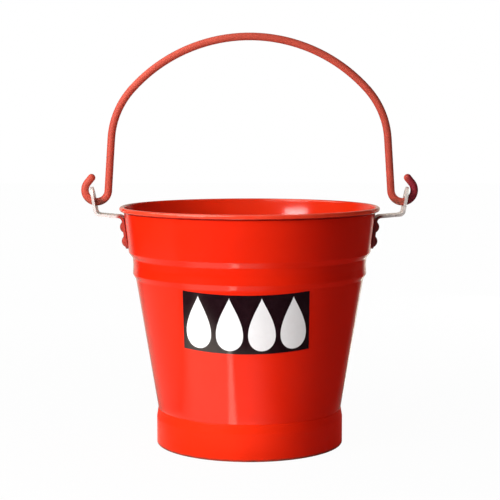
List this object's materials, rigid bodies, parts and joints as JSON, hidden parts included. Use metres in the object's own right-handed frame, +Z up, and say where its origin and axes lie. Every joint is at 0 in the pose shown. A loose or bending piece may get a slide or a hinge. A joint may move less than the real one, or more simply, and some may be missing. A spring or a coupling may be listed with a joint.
{
  "type": "fire bucket",
  "caption": "Tapered red painted steel fire bucket with rolled rim, two swaged steps, foot hoop, plain front label and a swinging bail in riveted ears.",
  "frame": {"origin": "middle of the ground plane that the foot stands on, on the tub's axis", "axes": "+Z up the tub's axis, +X to the right-hand ear seen from the front, -Y out through the front label"},
  "size_m": [0.3756, 0.29, 0.4576],
  "materials": {
    "red_paint": "gloss red enamel on steel sheet",
    "ear_paint": "gloss red enamel, worn thin at the bends and the hole",
    "bail_paint": "satin red enamel on steel rod",
    "bare_wire": "bare drawn wire",
    "label_film": "gloss black film with plain white figures"
  },
  "bodies": {
    "tub": {"body_shell": "red_paint", "rim_wire": "bare_wire", "bottom_plate": "red_paint", "foot_ring": "red_paint", "left_ear": "ear_paint", "right_ear": "ear_paint", "left_ear_upper_rivet": "ear_paint", "left_ear_lower_rivet": "ear_paint", "right_ear_upper_rivet": "ear_paint", "right_ear_lower_rivet": "ear_paint", "front_label": "label_film"},
    "bail": {"bail_handle": "bail_paint"}
  },
  "joints": [
    {"name": "bail_swing", "type": "hinge", "parent": "tub", "child": "bail", "pos_m": [0, 0, 0.2709], "axis": [1, 0, 0], "range_deg": [-118, 118]}
  ]
}
